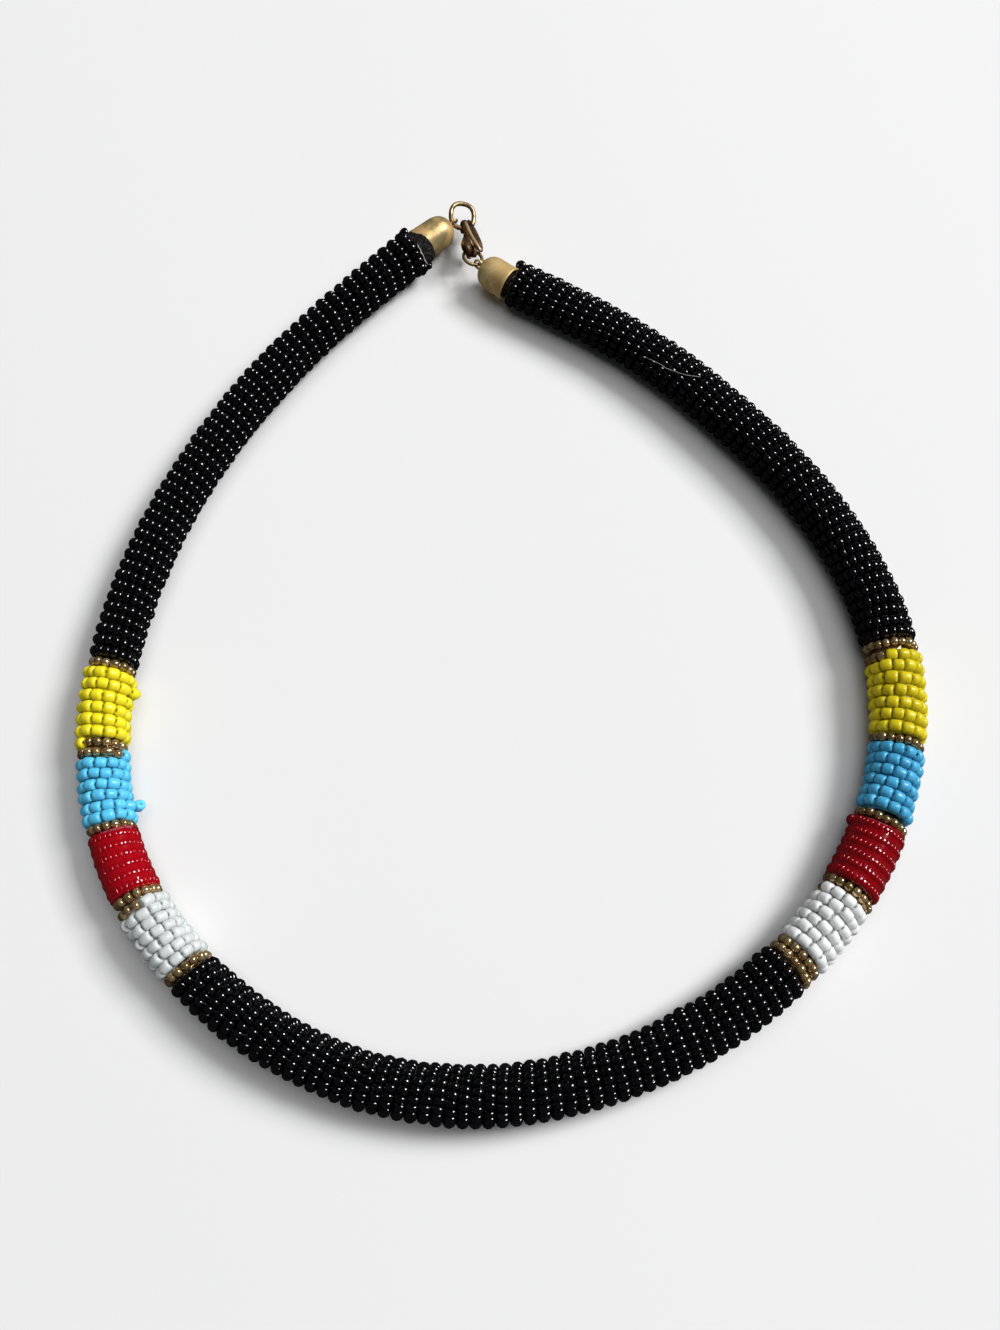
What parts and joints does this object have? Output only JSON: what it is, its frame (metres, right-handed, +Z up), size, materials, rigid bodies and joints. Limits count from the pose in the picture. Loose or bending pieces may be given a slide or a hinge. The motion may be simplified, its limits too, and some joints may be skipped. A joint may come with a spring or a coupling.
{
  "type": "beaded choker",
  "caption": "Rope choker of glass seed beads wound round a black core, with coloured bands at each side, brass end caps, jump rings and a lobster clasp.",
  "frame": {"origin": "bottom centre of the bounding box of the loop as it lies, on the resting surface", "axes": "+Z up from the surface, +Y towards the clasp, +X to the picture's right"},
  "size_m": [0.1532, 0.1798, 0.0104],
  "materials": {
    "core": "matte black cord",
    "black_beads": "opaque glossy jet",
    "yellow_beads": "opaque glossy lemon yellow",
    "blue_beads": "opaque glossy sky blue",
    "red_beads": "glossy clear ruby red over a dark core",
    "white_beads": "opaque glossy white",
    "gold_beads": "glass with a bronze-gold metallic coat",
    "cap_brass": "satin, tarnished in patches",
    "ring_brass": "darker antique brass",
    "clasp_brass": "antique brass with worn bright edges"
  },
  "bodies": {
    "choker": {"core": "core", "black_back_left": "black_beads", "gold_left_1": "gold_beads", "yellow_left": "yellow_beads", "gold_left_2": "gold_beads", "blue_left": "blue_beads", "gold_left_3": "gold_beads", "red_left": "red_beads", "gold_left_4": "gold_beads", "white_left": "white_beads", "gold_left_5": "gold_beads", "black_front": "black_beads", "gold_right_1": "gold_beads", "white_right": "white_beads", "gold_right_2": "gold_beads", "red_right": "red_beads", "gold_right_3": "gold_beads", "blue_right": "blue_beads", "gold_right_4": "gold_beads", "yellow_right": "yellow_beads", "gold_right_5": "gold_beads", "black_back_right": "black_beads", "cap_left": "cap_brass", "cap_right": "cap_brass", "ring_large": "ring_brass", "ring_small": "ring_brass", "clasp_body": "clasp_brass", "clasp_rivet": "clasp_brass"},
    "lever": {"clasp_lever": "clasp_brass"}
  },
  "joints": [
    {"name": "clasp_lever_hinge", "type": "hinge", "parent": "choker", "child": "lever", "pos_m": [-0.00664, 0.07983, 0.0033], "axis": [0.937, 0.1928, -0.2915], "range_deg": [0, 14], "stiffness_Nm_per_rad": 0.002}
  ]
}
